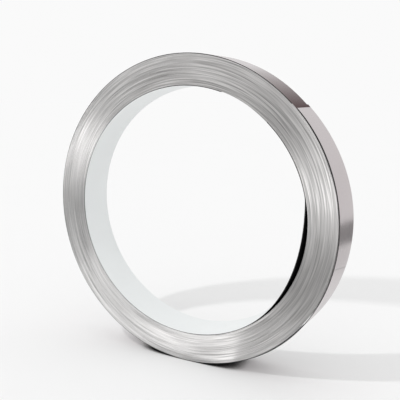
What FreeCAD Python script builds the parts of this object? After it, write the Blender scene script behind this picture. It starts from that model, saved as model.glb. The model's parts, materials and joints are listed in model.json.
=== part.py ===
"""Aluminium strip for channel letters, wound into a ring that stands on its rim.

The coil is one continuous strip. Its axis is along Y, Z is up, and the origin is on the floor
under the middle of the ring and of the strip's width. The strip's outer end lies a little slack
on the ring, so it stands off the turn below it between its end and the place where it settles.
Angles are counted in the ring's plane, up from the right.
"""
import FreeCAD, Part
import math
import os
import Sketcher

SIZES = {
    "bore_diameter": 316.0,
    "turn_count": 45,
    "strip_thickness": 0.8,
    "turn_gap": 0.065,
    "strip_width": 50.0,
    "edge_groove_width": 0.3,
    "edge_groove_depth": 0.35,
    "tail_angle": 43.0,
    "tail_lift": 0.4,
    "slack_angle": -15.0,
    "slack_height": 2.4,
    "settle_angle": -65.0,
    "ramp_top_angle": 68.0,
}
NODE = "strip_coil"

PITCH = "(Sizes.strip_thickness + Sizes.turn_gap)"
UNDER_LAST_TURN = f"(Sizes.bore_diameter / 2 + (Sizes.turn_count - 1) * {PITCH})"
OUTER_RADIUS = f"({UNDER_LAST_TURN} + Sizes.strip_thickness)"

ORIGIN = (-1, 1)
START, END, CENTRE = 1, 2, 3


def make_sheet(doc):
    """Put the driving sizes, in millimetres and degrees, in a sheet that names each of them."""
    sheet = doc.addObject("Spreadsheet::Sheet", "Sizes")
    for row, (name, value) in enumerate(SIZES.items(), start=1):
        sheet.set(f"A{row}", name)
        sheet.set(f"B{row}", str(value))
        sheet.setAlias(f"B{row}", name)
    doc.recompute()
    return sheet


def under_last_turn(sheet):
    """Radius of the ring that the strip's last turn lies on."""
    pitch = sheet.strip_thickness + sheet.turn_gap
    return sheet.bore_diameter / 2 + (sheet.turn_count - 1) * pitch


def polar(radius, degrees):
    """Point of the ring's plane at a radius and an angle."""
    angle = math.radians(degrees)
    return FreeCAD.Vector(radius * math.cos(angle), radius * math.sin(angle), 0)


def origin_plane(body, role):
    return next(feature for feature in body.Origin.OriginFeatures if feature.Role == role)


def new_sketch(body, name):
    """Sketch on the body's XZ plane, which is the middle plane of the ring."""
    sketch = body.newObject("Sketcher::SketchObject", name)
    sketch.AttachmentSupport = (origin_plane(body, "XZ_Plane"), [""])
    sketch.MapMode = "FlatFace"
    return sketch


def add_arc(sketch, first, middle, last):
    """Arc through three points, counted anticlockwise from the first to the last."""
    return sketch.addGeometry(Part.Arc(first, middle, last), False)


def set_size(sketch, label, constraint, expression):
    """Add a constraint whose value follows an expression over the sheet."""
    sketch.renameConstraint(sketch.addConstraint(constraint), label)
    sketch.setExpression(f"Constraints.{label}", expression)


def add_spoke(sketch, name, point, angle, length=None):
    """Construction line from the ring's centre, with its angle and its length from the sheet.

    A spoke with no length of its own ends on the round arc that it is joined to.
    """
    spoke = sketch.addGeometry(Part.LineSegment(FreeCAD.Vector(), point), True)
    join(sketch, spoke, START, *ORIGIN)
    turned = Sketcher.Constraint("Angle", spoke, math.atan2(point.y, point.x))
    set_size(sketch, f"{name}_angle", turned, angle)
    if length:
        set_size(sketch, f"{name}_length", Sketcher.Constraint("Distance", spoke, point.Length), length)
    return spoke


def join(sketch, first, first_end, second, second_end):
    sketch.addConstraint(Sketcher.Constraint("Coincident", first, first_end, second, second_end))


def draw_ring(body, sheet):
    """Outline of the wound ring: round, with a ramp up over the turn below and the slack tail."""
    sketch = new_sketch(body, "ring_outline")
    foot_radius = under_last_turn(sheet)
    outer_radius = foot_radius + sheet.strip_thickness
    tail_radius = outer_radius + sheet.tail_lift
    slack_radius = outer_radius + sheet.slack_height

    tail = add_spoke(sketch, "tail", polar(tail_radius, sheet.tail_angle),
                     "Sizes.tail_angle", f"{OUTER_RADIUS} + Sizes.tail_lift")
    foot = add_spoke(sketch, "foot", polar(foot_radius, sheet.tail_angle),
                     "Sizes.tail_angle", UNDER_LAST_TURN)
    slack = add_spoke(sketch, "slack", polar(slack_radius, sheet.slack_angle),
                      "Sizes.slack_angle", f"{OUTER_RADIUS} + Sizes.slack_height")
    settle = add_spoke(sketch, "settle", polar(outer_radius, sheet.settle_angle), "Sizes.settle_angle")
    top = add_spoke(sketch, "ramp_top", polar(outer_radius, sheet.ramp_top_angle),
                    "Sizes.ramp_top_angle", OUTER_RADIUS)

    halfway = (sheet.ramp_top_angle + sheet.settle_angle + 360) / 2
    settled_arc = add_arc(sketch, polar(outer_radius, sheet.ramp_top_angle),
                          polar(outer_radius, halfway), polar(outer_radius, sheet.settle_angle))
    slack_arc = add_arc(sketch, polar(outer_radius, sheet.settle_angle),
                        polar(slack_radius, sheet.slack_angle), polar(tail_radius, sheet.tail_angle))
    tail_end = sketch.addGeometry(Part.LineSegment(polar(tail_radius, sheet.tail_angle),
                                                   polar(foot_radius, sheet.tail_angle)), False)
    ramp_middle = (sheet.tail_angle + sheet.ramp_top_angle) / 2
    ramp_arc = add_arc(sketch, polar(foot_radius, sheet.tail_angle),
                       polar(outer_radius - sheet.strip_thickness / 4, ramp_middle),
                       polar(outer_radius, sheet.ramp_top_angle))
    bore = sketch.addGeometry(Part.Circle(FreeCAD.Vector(), FreeCAD.Vector(0, 0, 1),
                                          sheet.bore_diameter / 2), False)

    join(sketch, settled_arc, CENTRE, *ORIGIN)
    join(sketch, settled_arc, END, settle, END)
    join(sketch, slack_arc, START, settle, END)
    join(sketch, slack_arc, END, tail, END)
    sketch.addConstraint(Sketcher.Constraint("PointOnObject", slack, END, slack_arc))
    join(sketch, tail_end, START, tail, END)
    join(sketch, tail_end, END, foot, END)
    join(sketch, ramp_arc, START, foot, END)
    join(sketch, settled_arc, START, top, END)
    sketch.addConstraint(Sketcher.Constraint("Tangent", ramp_arc, END, settled_arc, START))
    join(sketch, bore, CENTRE, *ORIGIN)
    across = Sketcher.Constraint("Diameter", bore, sheet.bore_diameter)
    set_size(sketch, "bore_diameter", across, "Sizes.bore_diameter")
    return sketch


def draw_slack(body, sheet):
    """Outline of the narrow space between the slack tail and the turn below it."""
    sketch = new_sketch(body, "slack_outline")
    foot_radius = under_last_turn(sheet)
    lip_radius = foot_radius + sheet.tail_lift
    slack_radius = foot_radius + sheet.slack_height
    round_middle = (sheet.settle_angle + sheet.tail_angle) / 2

    settle = add_spoke(sketch, "settle", polar(foot_radius, sheet.settle_angle),
                       "Sizes.settle_angle", UNDER_LAST_TURN)
    foot = add_spoke(sketch, "foot", polar(foot_radius, sheet.tail_angle), "Sizes.tail_angle")
    lip = add_spoke(sketch, "lip", polar(lip_radius, sheet.tail_angle),
                    "Sizes.tail_angle", f"{UNDER_LAST_TURN} + Sizes.tail_lift")
    slack = add_spoke(sketch, "slack", polar(slack_radius, sheet.slack_angle),
                      "Sizes.slack_angle", f"{UNDER_LAST_TURN} + Sizes.slack_height")

    under = add_arc(sketch, polar(foot_radius, sheet.settle_angle), polar(foot_radius, round_middle),
                    polar(foot_radius, sheet.tail_angle))
    mouth = sketch.addGeometry(Part.LineSegment(polar(foot_radius, sheet.tail_angle),
                                                polar(lip_radius, sheet.tail_angle)), False)
    over = add_arc(sketch, polar(foot_radius, sheet.settle_angle),
                   polar(slack_radius, sheet.slack_angle), polar(lip_radius, sheet.tail_angle))

    join(sketch, under, CENTRE, *ORIGIN)
    join(sketch, under, START, settle, END)
    join(sketch, under, END, foot, END)
    join(sketch, mouth, START, foot, END)
    join(sketch, mouth, END, lip, END)
    join(sketch, over, START, settle, END)
    join(sketch, over, END, lip, END)
    sketch.addConstraint(Sketcher.Constraint("PointOnObject", slack, END, over))
    return sketch


def make_ring(doc, sheet):
    """Wound ring as one body: its outline over the strip's width, less the space under the tail."""
    body = doc.addObject("PartDesign::Body", "wound_ring")
    pad = body.newObject("PartDesign::Pad", "ring")
    pad.Profile = draw_ring(body, sheet)
    pad.Midplane = True
    pad.setExpression("Length", "Sizes.strip_width")
    doc.recompute()
    solid_volume = pad.Shape.Volume

    pocket = body.newObject("PartDesign::Pocket", "slack_space")
    pocket.Profile = draw_slack(body, sheet)
    pocket.Midplane = True
    pocket.setExpression("Length", "2 * Sizes.strip_width")
    doc.recompute()
    if pocket.Shape.Volume >= solid_volume:
        raise RuntimeError("the space under the tail cuts nothing")
    body.Tip = pocket
    return body


def make_turn_lines(doc, sheet):
    """Fine V grooves on both ends, one between each turn of the strip and the next.

    They are concentric rings of different radii, which no pattern feature repeats, so each is
    a small section turned about the coil's axis.
    """
    pitch = sheet.strip_thickness + sheet.turn_gap
    depth = sheet.edge_groove_depth
    half_width = sheet.edge_groove_width / 2
    face = sheet.strip_width / 2
    widening = 1.25
    rings = []
    for turn in range(1, int(sheet.turn_count)):
        radius = sheet.bore_diameter / 2 + turn * pitch - sheet.turn_gap / 2
        for side in (-1, 1):
            mouth = side * (face + (widening - 1) * depth)
            corners = [
                FreeCAD.Vector(radius, side * (face - depth), 0),
                FreeCAD.Vector(radius + widening * half_width, mouth, 0),
                FreeCAD.Vector(radius - widening * half_width, mouth, 0),
            ]
            section = Part.Face(Part.makePolygon(corners + corners[:1]))
            rings.append(section.revolve(FreeCAD.Vector(), FreeCAD.Vector(0, 1, 0), 360))
    lines = doc.addObject("Part::Feature", "turn_lines")
    lines.Shape = Part.makeCompound(rings)
    return lines


def make_coil(doc, sheet):
    """Coil: the wound ring with its turns showing on both ends, standing on the floor."""
    coil = doc.addObject("Part::Cut", NODE)
    coil.Base = make_ring(doc, sheet)
    coil.Tool = make_turn_lines(doc, sheet)
    coil.Label = NODE
    coil.setExpression("Placement.Base.z", OUTER_RADIUS)
    return coil


def check(doc, coil):
    """Stop before anything is written if any object failed or the coil isn't one sound solid."""
    for item in doc.Objects:
        if {"Invalid", "Error"} & set(item.State):
            raise RuntimeError(f"{item.Name} failed: {item.State}")
    shape = coil.Shape
    if shape.isNull() or not shape.isValid() or len(shape.Solids) != 1:
        raise RuntimeError(f"{coil.Label} is not one valid solid")


def main():
    doc = FreeCAD.newDocument("channel_letter_coil")
    sheet = make_sheet(doc)
    coil = make_coil(doc, sheet)
    doc.recompute()
    check(doc, coil)
    os.makedirs("parts", exist_ok=True)
    coil.Shape.exportStep(f"parts/{coil.Label}.step")
    print(coil.Label, coil.Shape.BoundBox, round(coil.Shape.Volume))


main()
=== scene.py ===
"""Coil of flat aluminium strip for channel letters, with its finish, floor, light and camera.

The strip is wound for real: one band runs from its inner end, turn on turn, to its outer end.
Its edges are the coil's two ends, its plain side faces out and its white coated side faces in.
"""
import math
import random

import bpy
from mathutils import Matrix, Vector
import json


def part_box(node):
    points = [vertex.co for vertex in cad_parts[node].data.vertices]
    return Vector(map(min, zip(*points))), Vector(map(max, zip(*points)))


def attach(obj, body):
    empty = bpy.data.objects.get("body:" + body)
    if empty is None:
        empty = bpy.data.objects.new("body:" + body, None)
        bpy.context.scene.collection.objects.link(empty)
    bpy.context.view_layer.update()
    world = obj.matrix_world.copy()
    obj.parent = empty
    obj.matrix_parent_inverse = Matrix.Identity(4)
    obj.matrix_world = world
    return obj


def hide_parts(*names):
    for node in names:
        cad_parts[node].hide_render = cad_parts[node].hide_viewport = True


bl_info = {
    "name": "Channel Letter Coil",
    "version": (1, 0, 0),
    "blender": (4, 5, 0),
    "location": "View3D > Sidebar > Coil",
    "description": "Winds a strip of coated aluminium into a coil and stages it on a pale floor",
    "category": "Object",
}

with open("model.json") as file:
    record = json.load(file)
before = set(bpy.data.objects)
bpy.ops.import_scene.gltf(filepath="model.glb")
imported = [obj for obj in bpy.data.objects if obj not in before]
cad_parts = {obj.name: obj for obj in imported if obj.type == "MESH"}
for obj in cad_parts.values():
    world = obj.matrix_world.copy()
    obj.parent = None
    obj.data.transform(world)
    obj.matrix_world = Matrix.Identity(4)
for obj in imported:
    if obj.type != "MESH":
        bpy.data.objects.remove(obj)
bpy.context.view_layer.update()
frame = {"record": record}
NODE = "strip_coil"
BORE = next(mount for mount in frame["record"]["mounts"] if mount["name"] == "bore")
BORE_RADIUS = BORE["dims"]["r_mm"] / 1000
AXIS_HEIGHT = BORE["pos_m"][2]
CAD_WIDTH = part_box(NODE)[1][1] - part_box(NODE)[0][1]
FULL_TURN = 2 * math.pi

# Material slots of the strip, in the order in which the materials are added.
EDGE, METAL, COATING, GAP_SHADE, RIM_SHADE = range(5)

# Sideways waves of the winding: turns from node to node, and share of the whole stray.
WANDER_WAVES = ((2.6, 0.70), (0.47, 0.20), (0.17, 0.10))
SAG_RISE, SAG_FALL = 2.0, 1.05  # how the first turn's slack grows, and how it dies away
SAG_LEAN = 0.9  # share of the first turn's slack that its back edge is free of
FLARE_STEEPNESS = 2.5  # how soon the flare is full, counted from either end of its stretch
GAP_BEFORE, GAP_AFTER = 0.25, 0.1  # reach of the dark gap past the slack stretch, in radians
TAIL_WINDOW = 0.001  # arc in which a point counts as the outer end's, in radians
EDGE_FACING = 0.75  # below this share of facing outwards or inwards, a face is a slit edge

# Streaks: cells a metre across the strip's thickness, and cells round the coil.
EDGE_STREAKS = (700.0, 2.0)
METAL_STREAKS = (900.0, 3.0)
COATING_STREAKS = (300.0, 2.0)
EDGE_TONES = (0.50, 1.40)
EDGE_RELIEF = 0.000008
# Painted shade: near-black colour for the two sides that face each other in the gap behind the slack
# first turn.
GAP_SHADE_COLOUR = (0.012, 0.012, 0.013)
DARK_LINE_TONE = 0.70
DARK_LINE_CORE, DARK_LINE_EDGE = 0.003, 0.006  # half widths of the dark line, in radians

NOISE_LOW, NOISE_HIGH = 0.3, 0.7  # span in which a noise texture mostly stays
MIX_LOW, MIX_HIGH, MIX_RESULT = 6, 7, 2  # colour sockets of a Mix node


class StripSizes(bpy.types.PropertyGroup):
    """Sizes of the strip and of the way it is wound."""
    outer_radius: bpy.props.FloatProperty(
        name="Outer radius", description="Radius of the wound ring where the last turn is settled",
        default=AXIS_HEIGHT, unit="LENGTH")
    bore_radius: bpy.props.FloatProperty(
        name="Bore radius", description="Radius of the open centre", default=BORE_RADIUS, unit="LENGTH")
    turns: bpy.props.IntProperty(
        name="Turns", description="Number of turns of strip", default=45, min=2)
    thickness: bpy.props.FloatProperty(
        name="Thickness", description="Thickness of the strip", default=0.0008, unit="LENGTH")
    width: bpy.props.FloatProperty(
        name="Width", description="Width of the strip", default=CAD_WIDTH - 0.00025, unit="LENGTH")
    edge_break: bpy.props.FloatProperty(
        name="Edge break", description="How far the slit edges are rounded off",
        default=0.0001, unit="LENGTH")
    edge_rollover: bpy.props.FloatProperty(
        name="Edge rollover", description="How far the slit edges fall away towards the outer side",
        default=0.00015, unit="LENGTH")
    wander: bpy.props.FloatProperty(
        name="Wander", description="How far a turn strays to either side of its neighbours",
        default=0.0001, unit="LENGTH")
    stations: bpy.props.IntProperty(
        name="Stations", description="Cross sections in one turn", default=160, min=32)
    seed: bpy.props.IntProperty(name="Seed", description="Start of the winding's chance", default=7)


class WindingAngles(bpy.types.PropertyGroup):
    """Places round the ring, counted up from the right as seen from the front."""
    tail: bpy.props.FloatProperty(
        name="Tail", description="Where the strip's outer end lies",
        default=math.radians(43), unit="ROTATION")
    climb: bpy.props.FloatProperty(
        name="Climb", description="Arc over which a turn climbs on to the turn below",
        default=math.radians(25), unit="ROTATION")
    lead: bpy.props.FloatProperty(
        name="Lead", description="Where the strip's inner end lies",
        default=math.radians(72), unit="ROTATION")
    settle: bpy.props.FloatProperty(
        name="Settle", description="Where the slack outer end lies close again",
        default=math.radians(-65), unit="ROTATION")
    slack: bpy.props.FloatProperty(
        name="Slack", description="Where the outer end stands furthest off",
        default=math.radians(-15), unit="ROTATION")
    slack_height: bpy.props.FloatProperty(
        name="Slack height", description="How far the outer end stands off the ring",
        default=0.0030, unit="LENGTH")
    slack_turns: bpy.props.IntProperty(
        name="Slack turns", description="How many of the last turns stand off together",
        default=1, min=1)
    slack_end: bpy.props.FloatProperty(
        name="Slack end", description="Where the turns under the outer end lie close again",
        default=math.radians(80), unit="ROTATION")
    tail_slant: bpy.props.FloatProperty(
        name="Tail slant", description="How much further round the outer end's back corner reaches",
        default=0.0045, unit="LENGTH")
    tail_lift: bpy.props.FloatProperty(
        name="Tail lift", description="Gap under the outer end's edge", default=0.0004, unit="LENGTH")
    dark_line: bpy.props.FloatProperty(
        name="Crease", description="Where a faint mark crosses the last turn",
        default=math.radians(-14.7), unit="ROTATION")
    dark_line_slant: bpy.props.FloatProperty(
        name="Crease slant", description="Turn of that mark along the coil, in radians a metre",
        default=0.87)
    bare_end: bpy.props.FloatProperty(
        name="Bare end", description="Where the dull bare stretch fades out",
        default=math.radians(68), unit="ROTATION")
    flat_middle: bpy.props.FloatProperty(
        name="Flat middle", description="Where the outer turns are pressed in most",
        default=math.radians(24), unit="ROTATION")
    flat_reach: bpy.props.FloatProperty(
        name="Flat reach", description="Arc to either side over which that fades out",
        default=math.radians(78), unit="ROTATION")
    flat_depth: bpy.props.FloatProperty(
        name="Flat depth", description="How far the outer turns are pressed in", default=0.0028,
        unit="LENGTH")
    flare: bpy.props.FloatProperty(
        name="Flare", description="How much further out the last turn's back edge stands",
        default=0.0036, unit="LENGTH")
    sag_from: bpy.props.FloatProperty(
        name="Sag from", description="Start of the first turn's slack stretch",
        default=math.radians(-60), unit="ROTATION")
    sag_to: bpy.props.FloatProperty(
        name="Sag to", description="End of the first turn's slack stretch",
        default=math.radians(12), unit="ROTATION")
    sag_depth: bpy.props.FloatProperty(
        name="Sag depth", description="How far the first turn stands into the bore",
        default=0.0056, unit="LENGTH")


class FinishColours(bpy.types.PropertyGroup):
    """Colours of the strip's two sides, its edges and the floor."""
    metal: bpy.props.FloatVectorProperty(
        name="Metal", description="Plain side of the strip", subtype="COLOR", size=3,
        default=(0.50, 0.452, 0.458))
    edge: bpy.props.FloatVectorProperty(
        name="Edge", description="Slit edges of the strip", subtype="COLOR", size=3,
        default=(0.565, 0.554, 0.549))
    coating: bpy.props.FloatVectorProperty(
        name="Coating", description="White coated side of the strip", subtype="COLOR", size=3,
        default=(0.78, 0.80, 0.80))
    # bare_tone and bare_glance make the turn beside the outer end darker in colour and in glancing
    # reflection, fading out towards bare_end.
    bare_tone: bpy.props.FloatProperty(
        name="Bare tone", description="Dulling of the turn left bare beside the outer end",
        default=0.3, min=0, max=1)
    bare_glance: bpy.props.FloatVectorProperty(
        name="Bare glance", description="What the turn left bare reflects at a glancing angle",
        subtype="COLOR", size=3, default=(0.42, 0.355, 0.355))
    # Painted shade: this darkens the slit edges of the first and last turns to a dark line along the
    # bore and the outer rim.
    rim_shade: bpy.props.FloatProperty(
        name="Rim tone", description="Dulling of the first and last turns' slit edges",
        default=0.1, min=0, max=1)
    floor: bpy.props.FloatVectorProperty(
        name="Floor", description="Floor under the coil", subtype="COLOR", size=3,
        default=(1.0, 1.0, 1.0))


def principled(name):
    """New material with its Principled BSDF and node tree."""
    material = bpy.data.materials.new(name)
    material.use_nodes = True
    tree = material.node_tree
    return material, tree, tree.nodes["Principled BSDF"]


def new_group(name, inputs, outputs):
    """Node group with named float, vector or colour sockets, and its two end nodes."""
    group = bpy.data.node_groups.new(name, "ShaderNodeTree")
    for label, kind, value in inputs:
        socket = group.interface.new_socket(name=label, in_out="INPUT", socket_type=f"NodeSocket{kind}")
        socket.default_value = value
    for label, kind in outputs:
        group.interface.new_socket(name=label, in_out="OUTPUT", socket_type=f"NodeSocket{kind}")
    return group, group.nodes.new("NodeGroupInput"), group.nodes.new("NodeGroupOutput")


def math_node(tree, operation, first, second=None):
    """Math node fed by sockets or plain numbers, giving its output socket."""
    node = tree.nodes.new("ShaderNodeMath")
    node.operation = operation
    for slot, value in enumerate((first, second)):
        if value is None:
            continue
        if isinstance(value, (int, float)):
            node.inputs[slot].default_value = value
        else:
            tree.links.new(value, node.inputs[slot])
    return node.outputs[0]


def streak_group():
    """Group giving fine streaks that run round the coil, slow patches, and the place on the coil."""
    group, start, end = new_group(
        "Streaks round the coil",
        [("Fineness", "Float", 600.0), ("Length", "Float", 3.0)],
        [("Streak", "Float"), ("Patch", "Float"), ("Radius", "Float"), ("Angle", "Float")])
    coordinates = group.nodes.new("ShaderNodeTexCoord")
    split = group.nodes.new("ShaderNodeSeparateXYZ")
    group.links.new(coordinates.outputs["Object"], split.inputs[0])
    across = split.outputs["X"]
    up = math_node(group, "SUBTRACT", split.outputs["Z"], AXIS_HEIGHT)
    squares = math_node(group, "ADD", math_node(group, "MULTIPLY", across, across),
                        math_node(group, "MULTIPLY", up, up))
    radius = math_node(group, "SQRT", squares)
    length = start.outputs["Length"]
    join = group.nodes.new("ShaderNodeCombineXYZ")
    group.links.new(math_node(group, "MULTIPLY", radius, start.outputs["Fineness"]), join.inputs["X"])
    for side, axis in ((across, "Y"), (up, "Z")):
        direction = math_node(group, "DIVIDE", side, radius)
        group.links.new(math_node(group, "MULTIPLY", direction, length), join.inputs[axis])
    streak = group.nodes.new("ShaderNodeTexNoise")
    streak.inputs["Scale"].default_value = 1.0
    streak.inputs["Detail"].default_value = 2.0
    streak.inputs["Roughness"].default_value = 0.7
    group.links.new(join.outputs[0], streak.inputs["Vector"])
    patch = group.nodes.new("ShaderNodeTexNoise")
    patch.inputs["Scale"].default_value = 9.0
    patch.inputs["Detail"].default_value = 2.0
    group.links.new(coordinates.outputs["Object"], patch.inputs["Vector"])
    group.links.new(streak.outputs["Fac"], end.inputs["Streak"])
    group.links.new(patch.outputs["Fac"], end.inputs["Patch"])
    group.links.new(radius, end.inputs["Radius"])
    group.links.new(math_node(group, "ARCTAN2", up, across), end.inputs["Angle"])
    return group


def scaled(tree, value, low, high, from_low=NOISE_LOW, from_high=NOISE_HIGH):
    """Map Range node from a mask's usual span to the wanted one."""
    node = tree.nodes.new("ShaderNodeMapRange")
    node.inputs["From Min"].default_value = from_low
    node.inputs["From Max"].default_value = from_high
    node.inputs["To Min"].default_value = low
    node.inputs["To Max"].default_value = high
    tree.links.new(value, node.inputs["Value"])
    return node.outputs["Result"]


def shaded(tree, colour, factor):
    """Colour times a mask, as a colour socket."""
    node = tree.nodes.new("ShaderNodeMix")
    node.data_type = "RGBA"
    node.blend_type = "MULTIPLY"
    node.inputs["Factor"].default_value = 1.0
    node.inputs[MIX_LOW].default_value = (*colour, 1.0)
    tree.links.new(factor, node.inputs[MIX_HIGH])
    return node.outputs[MIX_RESULT]


def blended(tree, low, high, factor):
    """Colour that goes from one to another with a mask, as a colour socket."""
    node = tree.nodes.new("ShaderNodeMix")
    node.data_type = "RGBA"
    tree.links.new(factor, node.inputs["Factor"])
    node.inputs[MIX_LOW].default_value = (*low, 1.0)
    node.inputs[MIX_HIGH].default_value = (*high, 1.0)
    return node.outputs[MIX_RESULT]


def bumped(tree, shader, height, distance):
    """Feed a height through a Bump node to the shader's normal."""
    bump = tree.nodes.new("ShaderNodeBump")
    bump.inputs["Distance"].default_value = distance
    bump.inputs["Strength"].default_value = 1.0
    tree.links.new(height, bump.inputs["Height"])
    tree.links.new(bump.outputs["Normal"], shader.inputs["Normal"])


def add_streaks(tree, streaks, fineness, length):
    """Streak group in a material, with its streaks' fineness and length set."""
    node = tree.nodes.new("ShaderNodeGroup")
    node.node_tree = streaks
    node.inputs["Fineness"].default_value = fineness
    node.inputs["Length"].default_value = length
    return node.outputs


def metal_material(colours, streaks, angles):
    """Plain rolled side of the strip: bright satin, darker in colour and in glancing reflection on the
    turn left bare by the outer end.
    """
    material, tree, shader = principled("Rolled aluminium")
    marks = add_streaks(tree, streaks, *METAL_STREAKS)
    bare = scaled(tree, marks["Angle"], colours.bare_tone, 1.0, angles.tail, angles.bare_end)
    covered = math_node(tree, "LESS_THAN", marks["Angle"], angles.tail)
    tone = math_node(tree, "MAXIMUM", bare, covered)
    tone = math_node(tree, "MULTIPLY", tone, scaled(tree, marks["Patch"], 0.97, 1.02))
    tone = math_node(tree, "MULTIPLY", tone, dark_line_tone(tree, marks["Angle"], angles))
    tree.links.new(shaded(tree, colours.metal, tone), shader.inputs["Base Color"])
    clean = scaled(tree, marks["Angle"], 0.0, 1.0, angles.tail, angles.bare_end)
    clean = math_node(tree, "MAXIMUM", clean, covered)
    glance = blended(tree, colours.bare_glance, (1, 1, 1), clean)
    tree.links.new(glance, shader.inputs["Specular Tint"])
    tree.links.new(scaled(tree, marks["Streak"], 0.20, 0.26), shader.inputs["Roughness"])
    shader.inputs["Metallic"].default_value = 1.0
    return material


def dark_line_tone(tree, angle, angles):
    """Darker tone along a faint thin line that runs slantwise across the last turn."""
    coordinates = tree.nodes.new("ShaderNodeTexCoord")
    split = tree.nodes.new("ShaderNodeSeparateXYZ")
    tree.links.new(coordinates.outputs["Object"], split.inputs[0])
    along = math_node(tree, "ADD", angle, math_node(tree, "MULTIPLY", split.outputs["Y"],
                                                    angles.dark_line_slant))
    away = math_node(tree, "ABSOLUTE", math_node(tree, "SUBTRACT", along, angles.dark_line))
    return scaled(tree, away, DARK_LINE_TONE, 1.0, DARK_LINE_CORE, DARK_LINE_EDGE)


def edge_material(name, colours, streaks, level):
    """Slit edges side by side: fine bright and dull lines that run with the strip."""
    material, tree, shader = principled(name)
    marks = add_streaks(tree, streaks, *EDGE_STREAKS)
    tone = math_node(tree, "MULTIPLY", scaled(tree, marks["Streak"], *EDGE_TONES),
                     scaled(tree, marks["Patch"], 0.93, 1.06))
    # A level below 1 darkens the edges with painted shade, as on the first and last turns.
    tone = math_node(tree, "MULTIPLY", tone, level)
    tree.links.new(shaded(tree, colours.edge, tone), shader.inputs["Base Color"])
    tree.links.new(scaled(tree, marks["Streak"], 0.42, 0.28), shader.inputs["Roughness"])
    bumped(tree, shader, marks["Streak"], EDGE_RELIEF)
    tangent = tree.nodes.new("ShaderNodeTangent")
    tangent.direction_type = "RADIAL"
    tangent.axis = "Y"
    tree.links.new(tangent.outputs["Tangent"], shader.inputs["Tangent"])
    shader.inputs["Anisotropic"].default_value = 0.75
    shader.inputs["Metallic"].default_value = 1.0
    return material


def coating_material(colours, streaks):
    """White baked coating on the side that faces the bore."""
    material, tree, shader = principled("White coating")
    marks = add_streaks(tree, streaks, *COATING_STREAKS)
    tree.links.new(shaded(tree, colours.coating, scaled(tree, marks["Patch"], 0.97, 1.02)),
                   shader.inputs["Base Color"])
    tree.links.new(scaled(tree, marks["Streak"], 0.30, 0.38), shader.inputs["Roughness"])
    return material


def gap_shade_material():
    """Painted shade: near-black colour, with a faint random tone, on the two sides that face each other
    behind the slack first turn.
    """
    material, tree, shader = principled("Painted gap shade")
    noise = tree.nodes.new("ShaderNodeTexNoise")
    noise.inputs["Scale"].default_value = 60.0
    coordinates = tree.nodes.new("ShaderNodeTexCoord")
    tree.links.new(coordinates.outputs["Object"], noise.inputs["Vector"])
    tree.links.new(shaded(tree, GAP_SHADE_COLOUR, scaled(tree, noise.outputs["Fac"], 0.6, 1.2)),
                   shader.inputs["Base Color"])
    shader.inputs["Roughness"].default_value = 0.9
    shader.inputs["Specular IOR Level"].default_value = 0.1
    return material


def circle_through(first, middle, last):
    """Centre and radius of the circle through three points of a plane."""
    (ax, ay), (bx, by), (cx, cy) = first, middle, last
    twice = 2 * (ax * (by - cy) + bx * (cy - ay) + cx * (ay - by))
    a, b, c = ax * ax + ay * ay, bx * bx + by * by, cx * cx + cy * cy
    x = (a * (by - cy) + b * (cy - ay) + c * (ay - by)) / twice
    y = (a * (cx - bx) + b * (ax - cx) + c * (bx - ax)) / twice
    return x, y, math.hypot(ax - x, ay - y)


def on_ring(radius, angle):
    """Point of a circle round the coil's axis."""
    return radius * math.cos(angle), radius * math.sin(angle)


def slack_arc(sizes, angles):
    """Circle that the slack outer end follows, on its middle line."""
    middle = sizes.outer_radius - sizes.thickness / 2
    return circle_through(on_ring(middle, angles.settle),
                          on_ring(middle + angles.slack_height, angles.slack),
                          on_ring(middle + angles.tail_lift, angles.tail))


def reach(circle, angle):
    """Distance from the coil's axis to a circle, in the direction of an angle."""
    x, y, radius = circle
    along = x * math.cos(angle) + y * math.sin(angle)
    aside = -x * math.sin(angle) + y * math.cos(angle)
    return along + math.sqrt(radius * radius - aside * aside)


def slack_shift(circle, settled, angles, angle):
    """How far the slack turns stand off the ring at an angle."""
    if angles.settle < angle <= angles.tail:
        return max(reach(circle, angle) - settled, 0.0)
    if angles.tail < angle < angles.slack_end:
        share = (angle - angles.tail) / (angles.slack_end - angles.tail)
        return angles.tail_lift * (1 - smooth_step(share))
    return 0.0


def pressed(angles, angle):
    """Share of the outer turns' flattening at an angle."""
    share = abs(angle - angles.flat_middle) / angles.flat_reach
    return 1 - smooth_step(share)


def flared(angles, angle):
    """How much further out the last turn's back edge stands than its front edge."""
    if not angles.settle < angle <= angles.tail + 1e-6:
        return 0.0
    share = (angle - angles.settle) / (angles.tail - angles.settle)
    return angles.flare * smooth_step(FLARE_STEEPNESS * min(share, 1 - share))


def turn_at(wound, angles):
    """Turns wound since the strip last passed the slack stretch's settled start."""
    start = (angles.settle - angles.lead) % FULL_TURN
    return math.floor((wound - start) / FULL_TURN) + 1


def sag(angles, angle):
    """How far the first turn stands into the bore: nothing at both ends, most past the middle."""
    share = (angle - angles.sag_from) / (angles.sag_to - angles.sag_from)
    if not 0 < share < 1:
        return 0.0
    top = SAG_RISE / (SAG_RISE + SAG_FALL)
    shape = share ** SAG_RISE * (1 - share) ** SAG_FALL
    return angles.sag_depth * shape / (top ** SAG_RISE * (1 - top) ** SAG_FALL)


def behind_sag(angles, angle):
    """Tell whether an angle is in or just beyond the first turn's slack stretch."""
    return angles.sag_from - GAP_BEFORE < angle < angles.sag_to + GAP_AFTER


def smooth_step(value):
    """Smooth rise from 0 to 1."""
    value = min(max(value, 0.0), 1.0)
    return value * value * (3 - 2 * value)


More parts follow.
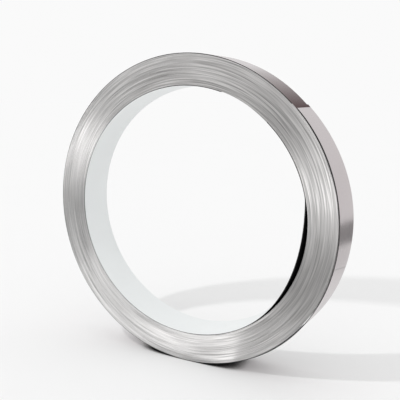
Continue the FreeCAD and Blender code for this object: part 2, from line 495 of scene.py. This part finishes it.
def wander_along(sizes, count):
    """Sideways stray of each station: a slow drift from turn to turn and shorter waves."""
    draw = random.Random(sizes.seed)
    waves = []
    for spacing, share in WANDER_WAVES:
        step = spacing * sizes.stations
        values = [draw.uniform(-1, 1) for _ in range(int(count / step) + 3)]
        waves.append((step, share, values))
    strays = []
    for station in range(count):
        stray = 0.0
        for step, share, values in waves:
            place = station / step
            index = int(place)
            blend = smooth_step(place - index)
            stray += share * (values[index] * (1 - blend) + values[index + 1] * blend)
        strays.append(stray * sizes.wander)
    return strays


def strip_route(sizes, angles):
    """Middle line of the strip, from its inner end to its outer end: place, stray and lean."""
    settled = sizes.outer_radius - sizes.thickness / 2
    first = sizes.bore_radius + sizes.thickness / 2
    pitch = (settled - first) / (sizes.turns - 1)
    climb_start = FULL_TURN - (angles.lead - angles.tail)
    last_angle = FULL_TURN * (sizes.turns - 1) + climb_start
    count = round(last_angle / FULL_TURN * sizes.stations) + 1
    circle = slack_arc(sizes, angles)
    strays = wander_along(sizes, count)
    points = []
    for station, stray in enumerate(strays):
        wound = last_angle * station / (count - 1)
        turn, part = divmod(wound, FULL_TURN)
        climbed = smooth_step((part - climb_start) / angles.climb)
        radius = first + pitch * (turn + climbed)
        angle = angles.lead + wound
        wrapped = (angle + math.pi) % FULL_TURN - math.pi
        lean = 0.0
        if turn == 0:
            radius -= sag(angles, wrapped) * (1 - SAG_LEAN / 2)
            lean = -sag(angles, wrapped) * SAG_LEAN / sizes.width
        if turn_at(wound, angles) > sizes.turns - angles.slack_turns:
            radius += slack_shift(circle, settled, angles, wrapped)
        depth = (radius - first) / (settled - first)
        radius -= angles.flat_depth * depth * depth * pressed(angles, wrapped)
        if turn_at(wound, angles) == sizes.turns:
            lean = -flared(angles, wrapped) / sizes.width
        points.append((radius * math.cos(angle), radius * math.sin(angle), stray, lean))
    return points


def strip_section(sizes):
    """Closed outline of the strip's section: thin, with its slit edges rounded off."""
    half_thick = sizes.thickness / 2
    half_wide = sizes.width / 2
    cut = sizes.edge_break
    rolled = sizes.edge_rollover
    top = [(half_thick, half_wide - rolled - cut), (half_thick - cut, half_wide - rolled),
           (cut / 2 - half_thick, half_wide), (-half_thick, half_wide - cut / 2)]
    return top + [(x, -y) for x, y in reversed(top)]


def poly_curve(name, points, cyclic):
    """Curve object of one straight-sided spline through the points."""
    data = bpy.data.curves.new(name, "CURVE")
    data.dimensions = "3D"
    spline = data.splines.new("POLY")
    spline.points.add(len(points) - 1)
    for point, (x, y, *rest) in zip(spline.points, points):
        z, lean = rest or (0.0, 0.0)
        point.co = (x, y, z, 1.0)
        point.tilt = lean
    spline.use_cyclic_u = cyclic
    made = bpy.data.objects.new(name, data)
    bpy.context.collection.objects.link(made)
    return made


def only(made):
    """Make one object the active and only selected one."""
    bpy.ops.object.select_all(action="DESELECT")
    made.select_set(True)
    bpy.context.view_layer.objects.active = made


class COIL_OT_strip(bpy.types.Operator):
    """Wind the strip from its inner end to its outer end"""
    bl_idname = "coil.strip"
    bl_label = "Wound Strip"

    def execute(self, context):
        scene = context.scene
        sizes, angles, colours = scene.strip_sizes, scene.winding_angles, scene.finish_colours
        section = poly_curve("strip_section", strip_section(sizes), True)
        strip = poly_curve("wound_strip", strip_route(sizes, angles), False)
        strip.data.twist_mode = "Z_UP"
        strip.data.bevel_mode = "OBJECT"
        strip.data.bevel_object = section
        strip.data.use_fill_caps = True
        only(strip)
        bpy.ops.object.convert(target="MESH")
        strip = context.view_layer.objects.active
        bpy.data.objects.remove(section)
        strip.rotation_euler = (math.pi / 2, 0, 0)
        strip.location = (0, 0, AXIS_HEIGHT)
        bpy.ops.object.transform_apply(location=True, rotation=True, scale=True)
        bpy.ops.object.mode_set(mode="EDIT")
        bpy.ops.mesh.select_all(action="SELECT")
        bpy.ops.mesh.remove_doubles(threshold=1e-6)
        bpy.ops.mesh.normals_make_consistent(inside=False)
        bpy.ops.object.mode_set(mode="OBJECT")
        self.slant_tail(strip, sizes, angles)
        self.finish(strip, sizes, angles, colours)
        bpy.ops.object.shade_smooth_by_angle(angle=math.radians(25))
        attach(strip, "root")
        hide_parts(NODE)
        return {"FINISHED"}

    def slant_tail(self, strip, sizes, angles):
        """Draw the back corner of the outer end further round than its front corner."""
        round_way = Vector((-math.sin(angles.tail), 0, math.cos(angles.tail)))
        under = sizes.outer_radius - sizes.thickness * 1.5 + angles.tail_lift - angles.flat_depth
        for vertex in strip.data.vertices:
            x, y, z = vertex.co
            out = math.hypot(x, z - AXIS_HEIGHT)
            angle = math.atan2(z - AXIS_HEIGHT, x)
            if out > under and abs(angle - angles.tail) < TAIL_WINDOW:
                vertex.co += round_way * angles.tail_slant * (y / sizes.width + 0.5)

    def finish(self, strip, sizes, angles, colours):
        """Give each face the finish of its side: plain outside, coated inside, slit edges.

        The slit edges of the first and the last turn are darkened with painted shade, a dark line along
        the bore and the outer rim.
        """
        streaks = streak_group()
        for material in (edge_material("Slit aluminium edge", colours, streaks, 1.0),
                         metal_material(colours, streaks, angles),
                         coating_material(colours, streaks), gap_shade_material(),
                         edge_material("Slit edge with painted rim shade", colours, streaks, colours.rim_shade)):
            strip.data.materials.append(material)
        second = sizes.bore_radius + sizes.thickness * 2.2
        corners = len(strip_section(sizes))
        first_rim = sizes.stations * (1 - angles.climb / FULL_TURN)
        last_rim = len(strip.data.vertices) // corners - sizes.stations
        for face in strip.data.polygons:
            out = Vector((face.center.x, 0, face.center.z - AXIS_HEIGHT))
            facing = face.normal.dot(out.normalized())
            angle = math.atan2(out.z, out.x)
            station = face.vertices[0] // corners
            if abs(facing) < EDGE_FACING:
                # The first and last turns' slit edges get the painted rim shade.
                face.material_index = EDGE if first_rim < station < last_rim else RIM_SHADE
            # Faces in the gap behind the slack first turn get the painted near-black shade.
            elif behind_sag(angles, angle) and out.length < second and self.hidden(out, facing, sizes):
                face.material_index = GAP_SHADE
            else:
                face.material_index = METAL if facing > 0 else COATING

    def hidden(self, out, facing, sizes):
        """Tell whether a face looks into the gap behind the first turn."""
        first_outside = facing > 0 and out.length < sizes.bore_radius + sizes.thickness * 1.04
        second_inside = facing < 0 and out.length > sizes.bore_radius + sizes.thickness * 0.9
        return first_outside or second_inside


CAMERA_TARGET = (0.0058, 0.0057, 0.2101)
CAMERA_DISTANCE = 0.7318
CAMERA_AZIMUTH = math.radians(27.71)
CAMERA_DOWN = math.radians(10.48)
CAMERA_LENS = 50.9
LAMP_PLACE = (-0.37, -0.50, 0.85)
LAMP_SHARE = 0.2  # the lamp's part of the light, beside the sky's
LAMP_SIZE = 0.022
SKY_LIGHT = 0.95
FLOOR_LEVEL = 0.955  # tone of the floor and the background, as seen
FLOOR_RADIUS = 30
# Painted contact shade: the floor's colour darkens where ambient occlusion finds the coil close by.
CONTACT_REACH = 0.022
CONTACT_SHADE_TONE = 0.04
CONTACT_FROM, CONTACT_TO = 0.25, 0.52  # open share of the sky between which the floor darkens
# Boards seen in reflections only: name, place, size across and up, brightness, lying flat.
CARDS = (
    ("left_bar", (-1.175, -0.65, 0.350), 0.70, 0.08, 8.5, False),
    ("front_bar", (0.22, -0.80, 0.194), 0.80, 0.17, 2.5, False),
    ("front_screen", (-0.22, -1.00, 0.54), 0.90, 0.40, 0.32, False),
    ("left_screen", (-0.70, -0.42, 0.00), 0.60, 0.26, 0.12, False),
    ("near_left_floor", (-0.18, -0.22, 0.002), 0.49, 0.38, 1.85, True),
    ("near_right_floor", (0.20, -0.45, 0.002), 0.60, 0.64, 0.36, True),
    ("back_bar", (0.42, 0.36, 0.074), 0.50, 0.085, 0.34, False),
)


class COIL_OT_stage(bpy.types.Operator):
    """Set the pale floor, the soft studio light and the camera"""
    bl_idname = "coil.stage"
    bl_label = "Studio Stage"

    def execute(self, context):
        self.floor(context.scene.finish_colours)
        self.world(context.scene)
        self.lights()
        self.camera(context.scene)
        context.scene.view_settings.view_transform = "Standard"
        return {"FINISHED"}

    def floor(self, colours):
        """Wide pale floor, which keeps the coil's shadow and carries a painted contact shade."""
        bpy.ops.object.select_all(action="DESELECT")
        bpy.ops.mesh.primitive_circle_add(vertices=96, radius=FLOOR_RADIUS, fill_type="NGON")
        floor = bpy.context.view_layer.objects.active
        floor.name = "floor"
        material, tree, shader = principled("Pale floor")
        noise = tree.nodes.new("ShaderNodeTexNoise")
        noise.inputs["Scale"].default_value = 3.0
        coordinates = tree.nodes.new("ShaderNodeTexCoord")
        tree.links.new(coordinates.outputs["Object"], noise.inputs["Vector"])
        grain = scaled(tree, noise.outputs["Fac"], 0.998, 1.002)
        tone = math_node(tree, "MULTIPLY", grain, self.evenness(tree, coordinates))
        # Painted shade near the contact, in the floor's colour.
        tone = math_node(tree, "MULTIPLY", tone, self.contact_shade(tree))
        tree.links.new(shaded(tree, colours.floor, tone), shader.inputs["Base Color"])
        shader.inputs["Roughness"].default_value = 0.9
        shader.inputs["Specular IOR Level"].default_value = 0.0
        floor.data.materials.append(material)

    def contact_shade(self, tree):
        """Painted shade: floor colour darkened by an ambient occlusion mask in the narrow gap where the
        coil touches down.
        """
        near = tree.nodes.new("ShaderNodeAmbientOcclusion")
        near.samples = 16
        near.inputs["Distance"].default_value = CONTACT_REACH
        return scaled(tree, near.outputs["AO"], CONTACT_SHADE_TONE, 1.0, CONTACT_FROM, CONTACT_TO)

    def evenness(self, tree, coordinates):
        """Floor tone that makes up for the lamp's fall with distance, as a graded sweep does."""
        away = tree.nodes.new("ShaderNodeVectorMath")
        away.operation = "DISTANCE"
        tree.links.new(coordinates.outputs["Object"], away.inputs[0])
        away.inputs[1].default_value = LAMP_PLACE
        slope = math_node(tree, "DIVIDE", LAMP_PLACE[2], away.outputs["Value"])
        lit = math_node(tree, "ADD", math_node(tree, "MULTIPLY", slope, LAMP_SHARE), SKY_LIGHT)
        return math_node(tree, "DIVIDE", FLOOR_LEVEL, lit)

    def world(self, scene):
        """Even white sky, seen as bright as the floor."""
        world = bpy.data.worlds.new("Studio")
        scene.world = world
        world.use_nodes = True
        tree = world.node_tree
        background = tree.nodes["Background"]
        background.inputs["Color"].default_value = (1, 1, 1, 1)
        rays = tree.nodes.new("ShaderNodeLightPath")
        seen = math_node(tree, "MAXIMUM", rays.outputs["Is Camera Ray"], rays.outputs["Is Glossy Ray"])
        seen = math_node(tree, "MAXIMUM", seen, rays.outputs["Is Transmission Ray"])
        strength = scaled(tree, seen, SKY_LIGHT, FLOOR_LEVEL, 0.0, 1.0)
        tree.links.new(strength, background.inputs["Strength"])

    def lights(self):
        """Small lamp whose light doesn't weaken with distance, and the cards the metal reflects."""
        data = bpy.data.lights.new("key", "POINT")
        data.energy = LAMP_SHARE * FULL_TURN ** 2
        data.shadow_soft_size = LAMP_SIZE
        data.use_nodes = True
        tree = data.node_tree
        falloff = tree.nodes.new("ShaderNodeLightFalloff")
        falloff.inputs["Strength"].default_value = 1.0
        tree.links.new(falloff.outputs["Constant"], tree.nodes["Emission"].inputs["Strength"])
        lamp = bpy.data.objects.new("key", data)
        lamp.location = LAMP_PLACE
        lamp.visible_glossy = False
        bpy.context.collection.objects.link(lamp)
        for card in CARDS:
            self.card(*card)

    def card(self, name, place, across, up, brightness, flat):
        """Board seen only in reflections, turned towards the coil."""
        bpy.ops.mesh.primitive_plane_add(size=1)
        board = bpy.context.view_layer.objects.active
        board.name = name
        board.scale = (across, up, 1)
        board.location = place
        if not flat:
            towards = Vector((0, 0, place[2])) - Vector(place)
            board.rotation_euler = towards.to_track_quat("Z", "Y").to_euler()
        material, tree, shader = principled(name)
        shader.inputs["Base Color"].default_value = (0, 0, 0, 1)
        shader.inputs["Roughness"].default_value = 1.0
        shader.inputs["Specular IOR Level"].default_value = 0.0
        shader.inputs["Emission Color"].default_value = (1, 1, 1, 1)
        shader.inputs["Emission Strength"].default_value = brightness
        board.data.materials.append(material)
        board.visible_camera = False
        board.visible_diffuse = False
        board.visible_shadow = False

    def camera(self, scene):
        """Camera in front, to the right of the coil and a little above it."""
        data = bpy.data.cameras.new("camera")
        data.lens = CAMERA_LENS
        data.clip_end = 100
        camera = bpy.data.objects.new("camera", data)
        flat = math.cos(CAMERA_DOWN)
        look = Vector((-math.sin(CAMERA_AZIMUTH) * flat, math.cos(CAMERA_AZIMUTH) * flat,
                       -math.sin(CAMERA_DOWN)))
        camera.location = Vector(CAMERA_TARGET) - look * CAMERA_DISTANCE
        camera.rotation_euler = look.to_track_quat("-Z", "Y").to_euler()
        bpy.context.collection.objects.link(camera)
        scene.camera = camera


class COIL_PT_panel(bpy.types.Panel):
    """Sidebar panel with the coil's operators"""
    bl_idname = "COIL_PT_panel"
    bl_label = "Channel Letter Coil"
    bl_space_type = "VIEW_3D"
    bl_region_type = "UI"
    bl_category = "Coil"

    def draw(self, context):
        for operator in OPERATORS:
            self.layout.operator(operator.bl_idname)
        for group in ("strip_sizes", "winding_angles", "finish_colours"):
            holder = getattr(context.scene, group)
            for name in holder.__annotations__:
                self.layout.prop(holder, name)


OPERATORS = (COIL_OT_strip, COIL_OT_stage)
GROUPS = {"strip_sizes": StripSizes, "winding_angles": WindingAngles, "finish_colours": FinishColours}


def register():
    for group in GROUPS.values():
        bpy.utils.register_class(group)
    for name, group in GROUPS.items():
        setattr(bpy.types.Scene, name, bpy.props.PointerProperty(type=group))
    for item in (*OPERATORS, COIL_PT_panel):
        bpy.utils.register_class(item)


def unregister():
    for item in (COIL_PT_panel, *reversed(OPERATORS)):
        bpy.utils.unregister_class(item)
    for name, group in reversed(GROUPS.items()):
        delattr(bpy.types.Scene, name)
        bpy.utils.unregister_class(group)


def main():
    register()
    bpy.ops.coil.strip()
    bpy.ops.coil.stage()


if __name__ == "__main__":
    main()
